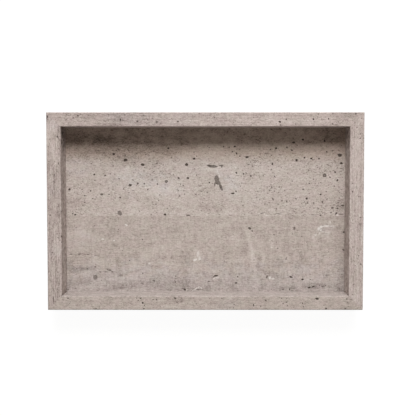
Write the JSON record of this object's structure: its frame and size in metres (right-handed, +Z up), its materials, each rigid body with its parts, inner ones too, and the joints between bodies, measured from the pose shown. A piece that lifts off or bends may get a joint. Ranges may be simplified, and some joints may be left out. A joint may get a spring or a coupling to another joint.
{
  "type": "tea tray",
  "caption": "Shallow rectangular tea tray with a square mitred rim, a recessed flat floor in a concrete-look decor and low rubber feet.",
  "frame": {"origin": "middle of the footprint, on the plane of the feet's undersides", "axes": "+X along the tray, +Y to its back, +Z up"},
  "size_m": [0.4, 0.25, 0.05],
  "materials": {
    "concrete_decor": "warm grey concrete print, matt",
    "fibreboard": "raw medium-density fibreboard",
    "beech": "pressed beech, raw",
    "backer_sheet": "brown-grey balancing sheet, matt",
    "zinc_steel": "zinc plated, satin",
    "foot_rubber": "black rubber, matt"
  },
  "bodies": {
    "root": {"front_rail_core": "fibreboard", "right_rail_core": "fibreboard", "back_rail_core": "fibreboard", "left_rail_core": "fibreboard", "front_rail_wrap": "concrete_decor", "right_rail_wrap": "concrete_decor", "back_rail_wrap": "concrete_decor", "left_rail_wrap": "concrete_decor", "front_left_biscuit": "beech", "front_right_biscuit": "beech", "back_right_biscuit": "beech", "back_left_biscuit": "beech", "floor_laminate": "concrete_decor", "floor_core": "fibreboard", "floor_backer": "backer_sheet", "panel_screws": "zinc_steel", "front_left_foot": "foot_rubber", "front_right_foot": "foot_rubber", "back_right_foot": "foot_rubber", "back_left_foot": "foot_rubber"}
  },
  "joints": []
}
